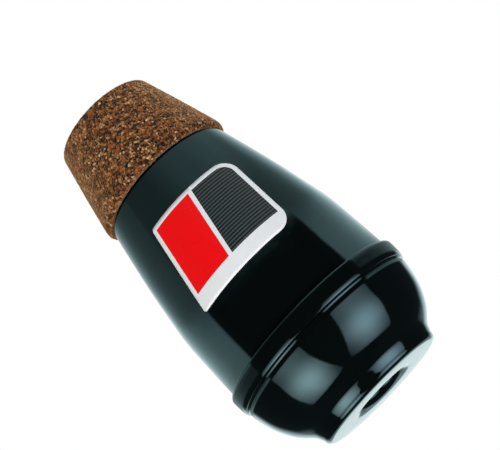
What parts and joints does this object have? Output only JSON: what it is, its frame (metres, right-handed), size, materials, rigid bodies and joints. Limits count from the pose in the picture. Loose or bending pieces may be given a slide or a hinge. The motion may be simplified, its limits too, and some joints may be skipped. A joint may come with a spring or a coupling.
{
  "type": "practice mute",
  "caption": "Black lacquered bulb-shaped practice mute for a trumpet, with a tapered cork collar that grips the bell and a damped outlet tube through its flat end.",
  "frame": {"origin": "centre of the bowl's flat end face, on which the mute stands", "axes": "+Z along the mute's axis, from the flat end towards the cork collar; -Y is the side with the label"},
  "size_m": [0.0832, 0.0832, 0.1519],
  "materials": {
    "black_lacquer": "gloss",
    "cork": "matte",
    "printed_label": "gloss",
    "bare_metal": "satin",
    "felt": "matte"
  },
  "bodies": {
    "root": {"bottom_bowl": "black_lacquer", "body_shell": "black_lacquer", "cork_collar": "cork", "label": "printed_label", "outlet_tube": "bare_metal", "tube_stop_ring": "bare_metal", "lower_felt_washer": "bare_metal", "felt_sleeve": "felt", "upper_felt_washer": "bare_metal", "tube_cap": "bare_metal", "damping_ring": "felt"}
  },
  "joints": []
}
